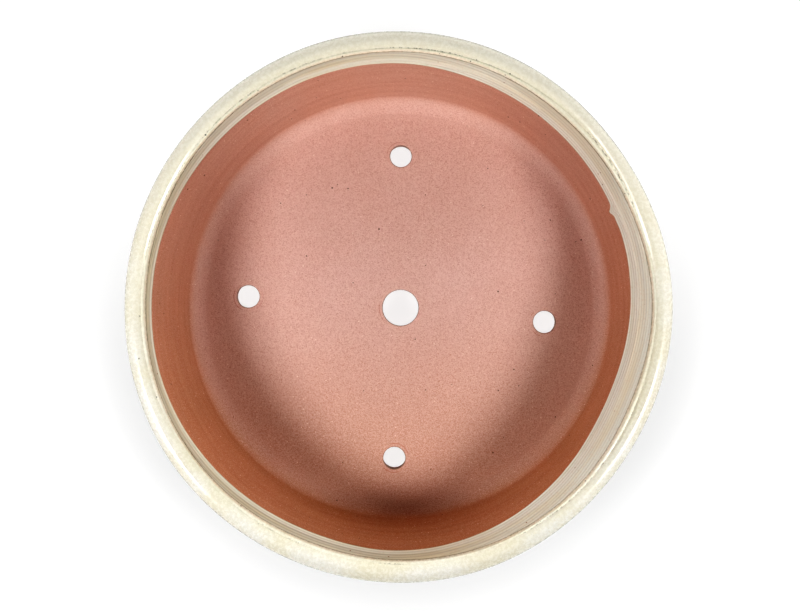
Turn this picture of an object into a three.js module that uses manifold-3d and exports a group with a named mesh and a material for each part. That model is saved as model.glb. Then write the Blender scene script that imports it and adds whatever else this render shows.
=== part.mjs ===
// A round, shallow bonsai pot: a red clay body that stands on three cloud feet, with a cream
// glaze outside, over the rolled rim and a little way down the inside. The pot was put together
// from a floor slab, a wall, a rim coil and three feet, and each coat of glaze lies on its clay.
// Units are millimetres and +Z is up. The origin is on the pot's axis, level with the soles of the feet.

import * as THREE from "three";
import { mergeVertices } from "three/addons/utils/BufferGeometryUtils.js";
import Module from "manifold-3d";

const wasm = await Module();
wasm.setup();

// Driving dimensions, over the glaze where a face is glazed.
const RIM_RADIUS = 150;
const POT_HEIGHT = 88;
const FOOT_HEIGHT = 14;
const FLOOR_THICKNESS = 8;
const GLAZE_THICKNESS = 0.8;
const BAND_THICKNESS = 0.6; // the inner glaze is the thinnest coat
const COAT_GAP = 0.02; // a hair's breadth between a coat of glaze and its clay
const FACETS = 60; // around the pot

// Inside of the wall: it leans out from a small cove at the floor.
const WALL_LEAN = THREE.MathUtils.degToRad(5.3);
const COVE_RADIUS = 8;
const COVE_CENTRE_RADIUS = 125.4;

// Outside of the wall: a round bottom corner, then a gentle belly up to the neck under the rim.
const CORNER_RADIUS = 16;
const CORNER_CENTRE_RADIUS = 128;
const CORNER_END = THREE.MathUtils.degToRad(-10); // where the corner's arc runs into the belly
const BELLY_HANDLE = 18; // length of the belly curve's handles
const NECK_RADIUS = 143.2;
const NECK_HEIGHT = 75.6;
const GLAZE_FOOT_LINE = THREE.MathUtils.degToRad(-62); // the outer glaze stops here on the corner's arc

// The rim is a round bead that slopes to a narrow ridge at its inner edge.
const BEAD_RADIUS = 5.8; // of the clay, without its glaze
const RIDGE_RADIUS = 138.2;
const RIDGE_BELOW_TOP = 2;
const CREASE_BELOW_TOP = 5; // the crease under the ridge, where the thin inner glaze starts
const BEVEL_BELOW_TOP = 7; // the inner edge of the bevelled joint between wall and rim

// The lower edge of the inner glaze dips to one side: depth below the rim's top around the pot.
const GLAZE_LINE_DEPTH = 18.8;
const GLAZE_LINE_TILT = 10;
const GLAZE_LINE_TILT_ANGLE = THREE.MathUtils.degToRad(-14);
const GLAZE_LINE_WAVE = 3.7;
const GLAZE_LINE_WAVE_ANGLE = THREE.MathUtils.degToRad(-20.5);

// The floor's holes, punched by hand from above and so a little uneven. They widen downwards.
const DRAIN_HOLE = { radius: 0.9, angle: -45, top: 23.1, bottom: 24.4 };
const WIRE_HOLES = [
  { radius: 96.8, angle: 89.5, top: 13.8, bottom: 16.3 },
  { radius: 97.5, angle: 176.1, top: 14.4, bottom: 17.4 },
  { radius: 97.3, angle: 268, top: 13.9, bottom: 15.4 },
  { radius: 93.6, angle: 354, top: 14.3, bottom: 17.2 },
];
const HOLE_FACETS = 28;

// Floor slab and feet.
const SLAB_RADIUS = 124;
const FOOT_ANGLES = [90, 210, 330];
const FOOT_INNER_RADIUS = 113;
const FOOT_OUTER_RADIUS = 134;
const FOOT_STEPS = 14; // slices along the foot, so that it follows the pot's curve
const SOLE_HALF_LENGTH = 17;
const SCALLOPS = [2.5, 4.5, 5, 5.5]; // radii of the lobes at each end of a foot, from the sole up
const FOOT_GAP = 0.3; // kept between a foot and the pot
const GLAZE_ABOVE_SOLE = 1.6;

// Colours, roughness and metalness.
const CLAY = { color: 0xcf9683, roughness: 0.85, metalness: 0 };
const CREAM_GLAZE = { color: 0xf1ecdc, roughness: 0.15, metalness: 0 };
const THIN_GLAZE = { color: 0xd7c8b3, roughness: 0.25, metalness: 0 };

const FLOOR_TOP = FOOT_HEIGHT + FLOOR_THICKNESS;

// ---- Outlines, as [radius, height] ----

function arc(centreRadius, centreHeight, radius, from, to, steps) {
  const points = [];
  for (let i = 0; i <= steps; i += 1) {
    const angle = from + ((to - from) * i) / steps;
    points.push([
      centreRadius + radius * Math.cos(angle),
      centreHeight + radius * Math.sin(angle),
    ]);
  }
  return points;
}

const RIGHT_ANGLE = Math.PI / 2;
const coveCentreHeight = FLOOR_TOP + COVE_RADIUS;
const coveTopRadius = COVE_CENTRE_RADIUS + COVE_RADIUS * Math.cos(WALL_LEAN);
const coveTopHeight = coveCentreHeight - COVE_RADIUS * Math.sin(WALL_LEAN);

function innerRadius(height) {
  return coveTopRadius + (height - coveTopHeight) * Math.tan(WALL_LEAN);
}

const creaseHeight = POT_HEIGHT - CREASE_BELOW_TOP;
const crease = [innerRadius(creaseHeight), creaseHeight];
const bevelHeight = POT_HEIGHT - BEVEL_BELOW_TOP;
const bevelInner = [innerRadius(bevelHeight), bevelHeight];
const bevelOuter = [NECK_RADIUS, NECK_HEIGHT];
const meanGlazeHeight = POT_HEIGHT - GLAZE_LINE_DEPTH;
const glazeLine = [innerRadius(meanGlazeHeight), meanGlazeHeight];

// The clay's outer face from the underside's edge up to the neck.
const cornerCentreHeight = FOOT_HEIGHT + CORNER_RADIUS;
function cornerArc(from, to, steps) {
  return arc(CORNER_CENTRE_RADIUS, cornerCentreHeight, CORNER_RADIUS, from, to, steps);
}
const underCorner = cornerArc(-RIGHT_ANGLE, GLAZE_FOOT_LINE, 1);
const glazedCorner = cornerArc(GLAZE_FOOT_LINE, CORNER_END, 4);

function bellyCurve(start) {
  const from = new THREE.Vector2(...start);
  const leaving = new THREE.Vector2(-Math.sin(CORNER_END), Math.cos(CORNER_END));
  const to = new THREE.Vector2(NECK_RADIUS, NECK_HEIGHT);
  const arriving = new THREE.Vector2(-Math.sin(WALL_LEAN), Math.cos(WALL_LEAN));
  return new THREE.CubicBezierCurve(
    from,
    from.clone().addScaledVector(leaving, BELLY_HANDLE),
    to.clone().addScaledVector(arriving, -BELLY_HANDLE),
    to,
  );
}
const belly = bellyCurve(glazedCorner.at(-1))
  .getPoints(5)
  .map((p) => [p.x, p.y])
  .slice(1, -1);
const outerFace = [...glazedCorner, ...belly, bevelOuter];

// The rim's clay: a bead from the neck round to its top, then a slope to the ridge.
const clayTop = POT_HEIGHT - GLAZE_THICKNESS;
const beadCentre = [RIM_RADIUS - GLAZE_THICKNESS - BEAD_RADIUS, clayTop - BEAD_RADIUS];
const beadStart = Math.atan2(NECK_HEIGHT - beadCentre[1], NECK_RADIUS - beadCentre[0]);
const bead = arc(...beadCentre, BEAD_RADIUS, beadStart, RIGHT_ANGLE, 8).slice(1);
const ridge = [RIDGE_RADIUS + GLAZE_THICKNESS, clayTop - RIDGE_BELOW_TOP];
const glazedFace = [...outerFace, ...bead, ridge, crease];
const neckIndex = outerFace.length - 1;

// The face of a coat of glaze over an open clay outline: each point moves out along the normal.
function coated(points, thickness) {
  return points.map(([radius, height], i) => {
    const before = points[Math.max(i - 1, 0)];
    const after = points[Math.min(i + 1, points.length - 1)];
    const normal = new THREE.Vector2(after[1] - before[1], before[0] - after[0]).normalize();
    return [radius + normal.x * thickness, height + normal.y * thickness];
  });
}

// ---- Solids ----

// A closed ring or disc from its outline, listed anticlockwise with the axis on the left.
function turned(outline) {
  const points = [...outline, outline[0]].map(([radius, height]) => new THREE.Vector2(radius, height));
  return new THREE.LatheGeometry(points, FACETS).rotateX(RIGHT_ANGLE);
}

function glazeDepth(angle) {
  const tilt = GLAZE_LINE_TILT * Math.cos(angle - GLAZE_LINE_TILT_ANGLE);
  const wave = GLAZE_LINE_WAVE * Math.cos(2 * (angle - GLAZE_LINE_WAVE_ANGLE));
  return GLAZE_LINE_DEPTH + tilt + wave;
}

// Slides every point at the inner glaze line's mean height down or up the wall to the real line.
function withGlazeLine(geometry) {
  const position = geometry.attributes.position;
  for (let i = 0; i < position.count; i += 1) {
    const x = position.getX(i);
    const y = position.getY(i);
    const radius = Math.hypot(x, y);
    const onLine = Math.abs(position.getZ(i) - meanGlazeHeight) < 1e-3;
    if (onLine && radius < NECK_RADIUS - BAND_THICKNESS - 1) {
      const height = POT_HEIGHT - glazeDepth(Math.atan2(y, x));
      const scale = 1 + ((height - meanGlazeHeight) * Math.tan(WALL_LEAN)) / radius;
      position.setXYZ(i, x * scale, y * scale, height);
    }
  }
  return geometry;
}

function toSolid(geometry) {
  const bare = geometry.clone();
  bare.deleteAttribute("normal");
  bare.deleteAttribute("uv");
  const merged = mergeVertices(bare);
  const vertProperties = new Float32Array(merged.attributes.position.array);
  const triVerts = new Uint32Array(merged.index.array);
  return new wasm.Manifold(new wasm.Mesh({ numProp: 3, vertProperties, triVerts }));
}

function toGeometry(solid) {
  const { vertProperties, triVerts } = solid.getMesh();
  const geometry = new THREE.BufferGeometry();
  geometry.setAttribute("position", new THREE.BufferAttribute(vertProperties, 3));
  geometry.setIndex(new THREE.BufferAttribute(triVerts, 1));
  geometry.computeVertexNormals();
  return geometry;
}

function floorSlab() {
  const slab = turned([
    [0, FOOT_HEIGHT],
    [SLAB_RADIUS, FOOT_HEIGHT],
    [SLAB_RADIUS, FLOOR_TOP],
    [0, FLOOR_TOP],
  ]);
  let solid = toSolid(slab);
  for (const hole of [DRAIN_HOLE, ...WIRE_HOLES]) {
    // The cutter runs past both faces and keeps the hole's taper.
    const taper = (hole.top - hole.bottom) / 2;
    const cutter = new THREE.CylinderGeometry(
      hole.top / 2 + taper,
      hole.bottom / 2 - taper,
      3 * FLOOR_THICKNESS,
      HOLE_FACETS,
    );
    const angle = THREE.MathUtils.degToRad(hole.angle);
    cutter.rotateX(RIGHT_ANGLE);
    cutter.translate(
      hole.radius * Math.cos(angle),
      hole.radius * Math.sin(angle),
      (FOOT_HEIGHT + FLOOR_TOP) / 2,
    );
    solid = solid.subtract(toSolid(cutter));
  }
  return toGeometry(solid);
}

function sideWall() {
  const cove = arc(COVE_CENTRE_RADIUS, coveCentreHeight, COVE_RADIUS, -WALL_LEAN, -RIGHT_ANGLE, 4);
  const outline = [
    [SLAB_RADIUS, FOOT_HEIGHT],
    ...underCorner.slice(0, -1),
    ...outerFace,
    bevelInner,
    glazeLine,
    ...cove,
    [SLAB_RADIUS, FLOOR_TOP],
  ];
  return withGlazeLine(turned(outline));
}

function rimLip() {
  return turned([...glazedFace.slice(neckIndex), bevelInner]);
}

// A coat over part of the glazed face. Coats that meet share the same mitred points.
function coat(first, last) {
  const face = coated(glazedFace, GLAZE_THICKNESS).slice(first, last + 1);
  const back = coated(glazedFace, COAT_GAP).slice(first, last + 1);
  return turned([...face, ...back.toReversed()]);
}

function innerBandGlaze() {
  const inset = (amount) => ([radius, height]) => [radius - amount, height];
  const onClay = [crease, bevelInner, glazeLine];
  const back = onClay.map(inset(COAT_GAP)).toReversed();
  return withGlazeLine(turned([...back, ...onClay.map(inset(BAND_THICKNESS))]));
}

// Everything outside the foot's own space: the pot's underside and corner, let down by the gap.
function potAboveFoot(gap) {
  const under = [
    [FOOT_INNER_RADIUS / 2, FOOT_HEIGHT],
    ...cornerArc(-RIGHT_ANGLE, CORNER_END, 8),
  ];
  const lowered = coated(under, gap);
  const rise = [
    [RIM_RADIUS, lowered.at(-1)[1]],
    [RIM_RADIUS, POT_HEIGHT],
    [lowered[0][0], POT_HEIGHT],
  ];
  return toSolid(turned([...lowered, ...rise]));
}

// The foot seen from outside: a sole, with scallops that step out and up at each end.
function footOutline(bottom) {
  const right = [];
  let x = SOLE_HALF_LENGTH;
  let y = 0;
  for (const radius of SCALLOPS) {
    for (const step of [0, 1, 2]) {
      const angle = -RIGHT_ANGLE + (step * RIGHT_ANGLE) / 2;
      right.push([x + radius * Math.cos(angle), y + radius + radius * Math.sin(angle)]);
    }
    x += radius;
    y += radius;
  }
  const cut = right.filter((point) => point[1] > bottom);
  const first = [Math.max(SOLE_HALF_LENGTH, cut[0][0] - 1), bottom];
  const side = bottom > 0 ? [first, ...cut] : right;
  const mirrored = side.map(([px, py]) => [-px, py]).toReversed();
  return [...side, ...mirrored].map(([px, py]) => new THREE.Vector2(px, py));
}

// A foot's outline thickened between two radii and bent round the pot, in place at an angle.
function bentFoot(bottom, insideRadius, outsideRadius, angle) {
  const depth = outsideRadius - insideRadius;
  const flat = toSolid(
    new THREE.ExtrudeGeometry(new THREE.Shape(footOutline(bottom)), { depth, bevelEnabled: false }),
  );
  const length = 2 * (SOLE_HALF_LENGTH + SCALLOPS.reduce((sum, radius) => sum + radius, 0));
  const sliced = toGeometry(flat.refineToLength(length / FOOT_STEPS));
  const position = sliced.attributes.position;
  const middle = THREE.MathUtils.degToRad(angle);
  for (let i = 0; i < position.count; i += 1) {
    const radius = insideRadius + position.getZ(i);
    const turn = middle + position.getX(i) / FOOT_OUTER_RADIUS;
    position.setXYZ(i, radius * Math.cos(turn), radius * Math.sin(turn), position.getY(i));
  }
  return toSolid(sliced);
}

function foot(angle) {
  const solid = bentFoot(0, FOOT_INNER_RADIUS, FOOT_OUTER_RADIUS, angle);
  return toGeometry(solid.subtract(potAboveFoot(FOOT_GAP)));
}

function footGlaze(angle) {
  const inside = FOOT_OUTER_RADIUS + FOOT_GAP;
  const solid = bentFoot(GLAZE_ABOVE_SOLE, inside, inside + GLAZE_THICKNESS, angle);
  return toGeometry(solid.subtract(potAboveFoot(GLAZE_THICKNESS + FOOT_GAP)));
}

// ---- The pot ----

const pot = new THREE.Group();

function place(name, geometry, finish) {
  const mesh = new THREE.Mesh(geometry, new THREE.MeshStandardMaterial(finish));
  mesh.name = name;
  pot.add(mesh);
}

place("floor_slab", floorSlab(), CLAY);
place("side_wall", sideWall(), CLAY);
place("rim_lip", rimLip(), CLAY);
place("wall_glaze", coat(0, neckIndex), CREAM_GLAZE);
place("rim_glaze", coat(neckIndex, glazedFace.length - 1), CREAM_GLAZE);
place("inner_band_glaze", innerBandGlaze(), THIN_GLAZE);
FOOT_ANGLES.forEach((angle, i) => {
  place(`foot_${i + 1}`, foot(angle), CLAY);
  place(`foot_${i + 1}_glaze`, footGlaze(angle), CREAM_GLAZE);
});

export default pot;
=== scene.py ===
"""A round, shallow bonsai pot, empty, seen from straight above: red clay under cream glaze, bare inside."""

import math

import bpy
import numpy as np
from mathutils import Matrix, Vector, geometry, noise


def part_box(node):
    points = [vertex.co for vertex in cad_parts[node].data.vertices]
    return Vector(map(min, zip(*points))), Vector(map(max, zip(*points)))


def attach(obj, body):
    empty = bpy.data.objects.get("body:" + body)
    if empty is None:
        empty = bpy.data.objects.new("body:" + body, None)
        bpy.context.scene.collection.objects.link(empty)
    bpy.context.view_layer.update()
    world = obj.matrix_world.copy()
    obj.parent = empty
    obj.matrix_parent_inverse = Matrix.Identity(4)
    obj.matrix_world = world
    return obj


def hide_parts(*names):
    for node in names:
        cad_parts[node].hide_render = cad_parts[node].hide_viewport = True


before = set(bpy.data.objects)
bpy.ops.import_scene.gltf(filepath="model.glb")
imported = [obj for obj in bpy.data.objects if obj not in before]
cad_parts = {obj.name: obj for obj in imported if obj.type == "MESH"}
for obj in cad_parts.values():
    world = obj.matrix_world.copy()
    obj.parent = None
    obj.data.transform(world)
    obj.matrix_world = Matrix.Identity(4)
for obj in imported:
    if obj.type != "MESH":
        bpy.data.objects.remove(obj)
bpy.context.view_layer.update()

MM = 0.001

# ---- Sizes, in millimetres. Places come from the frame. ----


def in_mm(node):
    """A CAD node's lowest and highest corners."""
    low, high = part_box(node)
    return Vector(low) / MM, Vector(high) / MM


slab_low, slab_high = in_mm("floor_slab")
RIM_TOP = in_mm("rim_glaze")[1].z
FLOOR_TOP = slab_high.z
UNDERSIDE = slab_low.z
SLAB_RADIUS = slab_high.x

WALL_LEAN = math.radians(5.3)
COVE_HEIGHT = 8.0
COVE_WIDTH = 13.0  # the cove is a quarter of an ellipse, long on the floor
COVE_FOOT_RADIUS = SLAB_RADIUS - 3.6
CORNER_RADIUS = 16.0  # the round corner between the underside and the belly
CORNER_CENTRE_RADIUS = 128.0
CORNER_END = math.radians(-10)  # where the belly begins, as a turn on the corner
GLAZE_FOOT_LINE = math.radians(-62)  # where the outer glaze stops, as a turn on the corner
BELLY_HANDLE = 18.0  # how strongly the belly leaves and arrives in its ends' directions
NECK_RADIUS = 143.2
NECK_HEIGHT = RIM_TOP - 12.4
COAT = 0.8  # thickness of the outer glaze
BAND_COAT = 0.5  # thickness of the inner glaze
SUNK = 0.15  # how far a wall coat's hidden back lies inside the clay
BEHIND_COAT = 0.05  # between the rim's coat and its clay
CREASE_BELOW_TOP = 4.6
BEHIND_CREASE = 0.35  # how far the clay wall's inside lies behind the rim's crease
BEAD_DROP = 6.6  # from the rim's top to its widest point
DIP_ACROSS = 4.2  # from the crease's bottom over the ridge to the dip behind it, along the face

# What varies round the hand-made pot: (angle in degrees, value). The values are millimetres, but for the
# dip's line and the bead's painted shade, which are shares.
RIM_KNOTS = (
    (0, 148.9), (37, 147.5), (62, 149.1), (105, 150.5), (140, 149.8),
    (180, 149.8), (207, 150.5), (245, 149.9), (285, 150.3), (327, 148.2),
)
CREASE_KNOTS = (
    (0, 137.4), (22, 136.3), (45, 136.3), (68, 137.7), (90, 138.8), (125, 139.1), (157, 138.5), (180, 138.0),
    (202, 138.5), (225, 138.0), (248, 136.7), (270, 137.4), (292, 138.0), (315, 137.4), (337, 135.9),
)
RIDGE_KNOTS = (  # from the crease to the dip behind the ridge
    (0, 1.2), (22, 1.2), (45, 2.4), (68, 1.6), (90, 1.1), (125, 1.4), (157, 0.7),
    (180, 1.6), (210, 0.9), (248, 1.6), (290, 0.9), (320, 1.5), (337, 1.9),
)
CRACK_KNOTS = (  # how open the dip is, which also sets how dark its line is painted: iron specks, partly painted shade
    (0, 0.1), (45, 1.0), (70, 1.0), (100, 0.7), (135, 0.5),
    (180, 0.2), (225, 0.1), (260, 0.7), (300, 0.6), (330, 0.5),
)
BEAD_SHADE_KNOTS = (  # painted shade: how grey the bead's outer side is painted, where it turns away from the light
    (0, 0.75), (45, 0.8), (90, 0.45), (135, 0.55), (180, 0.85), (225, 0.95), (270, 0.55), (315, 0.8),
)
GLAZE_DEPTH_KNOTS = (  # the inner glaze's lower edge, below the rim's top
    (0, 30.8), (20, 25.6), (45, 22.6), (70, 21.0), (90, 17.8), (112, 16.6), (135, 15.9), (160, 12.9),
    (190, 11.1), (225, 15.0), (250, 15.9), (270, 15.2), (290, 20.2), (310, 27.2), (333, 34.1),
)
DRIP_ANGLE = 24.3  # in degrees, as its width is
DRIP_WIDTH = 0.9
DRIP_LENGTH = 5.0

HOLES = (  # radius and angle of the axis, diameters at the floor's top and underside
    (0.9, -45.0, 23.1, 24.4),
    (96.8, 89.5, 13.8, 16.3),
    (97.5, 176.1, 14.4, 17.4),
    (97.3, 268.0, 14.2, 15.9),
    (93.6, 354.0, 14.3, 17.2),
)
HOLE_FILLET = 0.35  # rounded edge at the floor's top
HOLE_RINGS = (1.2, 2.4, 3.6)  # rings of points round a hole
HOLE_HALO = 8.0  # how far round a hole its own marks reach
HOLE_SHADE_RING = 2.2  # how far outside a hole a darker, redder ring of painted shade lies

SEGMENTS = 720  # facets round the pot


def round_the_pot(knots):
    """A smooth closed function of the angle, in radians, through the knots."""
    angles = np.radians([k[0] for k in knots])
    values = np.array([k[1] for k in knots], float)
    count = len(knots)
    full = 2 * math.pi
    before = (angles - np.roll(angles, 1)) % full
    after = (np.roll(angles, -1) - angles) % full
    slope_in = (values - np.roll(values, 1)) / before
    slope_out = (np.roll(values, -1) - values) / after
    slopes = (slope_in * after + slope_out * before) / (before + after)

    def value(angle):
        angle = np.asarray(angle) % full
        i = (np.searchsorted(angles, angle, side="right") - 1) % count
        j = (i + 1) % count
        t = ((angle - angles[i]) % full) / after[i]
        a = (2 * t**3 - 3 * t**2 + 1) * values[i] + (t**3 - 2 * t**2 + t) * after[i] * slopes[i]
        return a + (3 * t**2 - 2 * t**3) * values[j] + (t**3 - t**2) * after[i] * slopes[j]

    return value


rim_radius = round_the_pot(RIM_KNOTS)
crease_radius = round_the_pot(CREASE_KNOTS)
ridge_width = round_the_pot(RIDGE_KNOTS)
dip_crack = round_the_pot(CRACK_KNOTS)
bead_shade_strength = round_the_pot(BEAD_SHADE_KNOTS)
line_depth = round_the_pot(GLAZE_DEPTH_KNOTS)


def smoothstep(low, high, x):
    """0 up to low, 1 from high on, eased between them."""
    t = np.clip((x - low) / (high - low), 0, 1)
    return t * t * (3 - 2 * t)


def bell(x, centre, width):
    """1 at the centre, falling smoothly to about a third at width away from it."""
    return np.exp(-(((x - centre) / width) ** 2))


def wobble(angle, seed, size, octaves=4):
    """A small smooth unevenness round the pot. It has no chance in it: a seed always gives the same."""
    total = np.zeros_like(angle)
    for k in range(octaves):
        turns = 3 * 2**k + seed % 3
        total += np.cos(turns * angle + 1.7 * seed + 2.3 * k) / (k + 1.5)
    return size * total


def glaze_line_depth(angle):
    """Depth of the inner glaze's lower edge below the rim's top, with its one drip and a sag beside it."""
    off = (np.degrees(angle) - DRIP_ANGLE + 180) % 360 - 180
    drip = DRIP_LENGTH * bell(off, 0.0, DRIP_WIDTH)
    sag = 0.25 * DRIP_LENGTH * bell(off, -2.2, 2.5 * DRIP_WIDTH)
    return line_depth(angle) + drip + sag + wobble(angle, 5, 0.12, 6)


# ---- Faces and outlines ----

cove_top_turn = math.atan(math.tan(WALL_LEAN) * COVE_HEIGHT / COVE_WIDTH)
cove_top_radius = COVE_FOOT_RADIUS + COVE_WIDTH * math.cos(cove_top_turn)
cove_top_height = FLOOR_TOP + COVE_HEIGHT * (1 - math.sin(cove_top_turn))
crease_height = RIM_TOP - CREASE_BELOW_TOP
joint_height = crease_height - 1.0  # where the wall's clay ends and the rim's begins


def floor_height(radius):
    """The floor, which the cove lifts towards the wall."""
    share = np.clip((radius - COVE_FOOT_RADIUS) / COVE_WIDTH, 0, 1)
    return FLOOR_TOP + COVE_HEIGHT * (1 - np.sqrt(1 - share**2))


def inner_radius(angle, height):
    """The clay wall's inside. Its top follows the rim, its foot is nearly a true circle."""
    straight = cove_top_radius + (height - cove_top_height) * math.tan(WALL_LEAN)
    true_top = cove_top_radius + (crease_height - cove_top_height) * math.tan(WALL_LEAN)
    share = smoothstep(cove_top_height, crease_height, height)
    # the potter's rings: fine ones about every 5 mm and broad ones about every 12 mm
    rings = 0.02 * np.sin(height * 1.35 + 2.2 * np.sin(height * 0.31) + wobble(angle, 2, 0.9, 3))
    rings = rings + 0.03 * np.sin(height * 0.52 + wobble(angle, 7, 1.4, 3))
    rings *= smoothstep(cove_top_height, cove_top_height + 6, height)
    return straight + share * (crease_radius(angle) + BEHIND_CREASE - true_top) + rings


def arc(centre_radius, centre_height, radius, start, end, steps):
    """Points (radius, height) on a round corner."""
    angles = np.linspace(start, end, steps + 1)
    return np.stack([centre_radius + radius * np.cos(angles), centre_height + radius * np.sin(angles)], 1)


def outer_outline(coat):
    """The outside from the underside's edge up to the neck, a coat's thickness out from the clay."""
    corner = arc(
        CORNER_CENTRE_RADIUS, UNDERSIDE + CORNER_RADIUS, CORNER_RADIUS + coat,
        GLAZE_FOOT_LINE, CORNER_END, 24,
    )
    return np.vstack([corner, belly_outline(coat)])


def belly_outline(coat):
    """The outside from the corner's end up to the neck."""
    start = arc(CORNER_CENTRE_RADIUS, UNDERSIDE + CORNER_RADIUS, CORNER_RADIUS + coat, 0, CORNER_END, 1)[-1]
    end = np.array([NECK_RADIUS + coat, NECK_HEIGHT])
    leaving = start + BELLY_HANDLE * np.array([-math.sin(CORNER_END), math.cos(CORNER_END)])
    arriving = end - BELLY_HANDLE * np.array([-math.sin(WALL_LEAN), math.cos(WALL_LEAN)])
    t = np.linspace(0, 1, 49)[1:, None]
    s = 1 - t
    return s**3 * start + 3 * s * s * t * leaving + 3 * s * t * t * arriving + t**3 * end


# ---- Mesh making ----


def make_object(name, vertices, faces, smooth_angle=40):
    """A smooth object from vertices in millimetres, sharp where faces meet at more than smooth_angle."""
    mesh = bpy.data.meshes.new(name)
    mesh.from_pydata((np.asarray(vertices) * MM).tolist(), [], faces)
    mesh.validate()
    piece = bpy.data.objects.new(name, mesh)
    bpy.context.scene.collection.objects.link(piece)
    for polygon in mesh.polygons:
        polygon.use_smooth = True
    mesh.set_sharp_from_angle(angle=math.radians(smooth_angle))
    return piece


def store(piece, key, values):
    """Keeps one number per point on a piece, for its material."""
    attribute = piece.data.attributes.new(key, "FLOAT", "POINT")
    attribute.data.foreach_set("value", np.ascontiguousarray(values, dtype=np.float32).ravel())


def ring_object(name, radii, heights, **attributes):
    """A closed ring from arrays [facet round the pot, point round the section], the section anticlockwise.
    Each further array is stored on the points, as an attribute of its name."""
    turns, points = radii.shape
    angles = (np.arange(turns) * 2 * math.pi / turns)[:, None]
    vertices = np.stack([radii * np.cos(angles), radii * np.sin(angles), heights], 2).reshape(-1, 3)
    faces = []
    for i in range(turns):
        a = i * points
        b = ((i + 1) % turns) * points
        for j in range(points):
            k = (j + 1) % points
            faces.append((a + j, b + j, b + k, a + k))
    piece = make_object(name, vertices, faces)
    for key, values in attributes.items():
        store(piece, key, values)
    return piece


def spread(section):
    """The same section [point, (radius, height)] at every facet round the pot."""
    radii = np.repeat(section[None, :, 0], SEGMENTS, 0)
    heights = np.repeat(section[None, :, 1], SEGMENTS, 0)
    return radii, heights


pot_angles = np.arange(SEGMENTS) * 2 * math.pi / SEGMENTS

# ---- Material helpers ----


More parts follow.
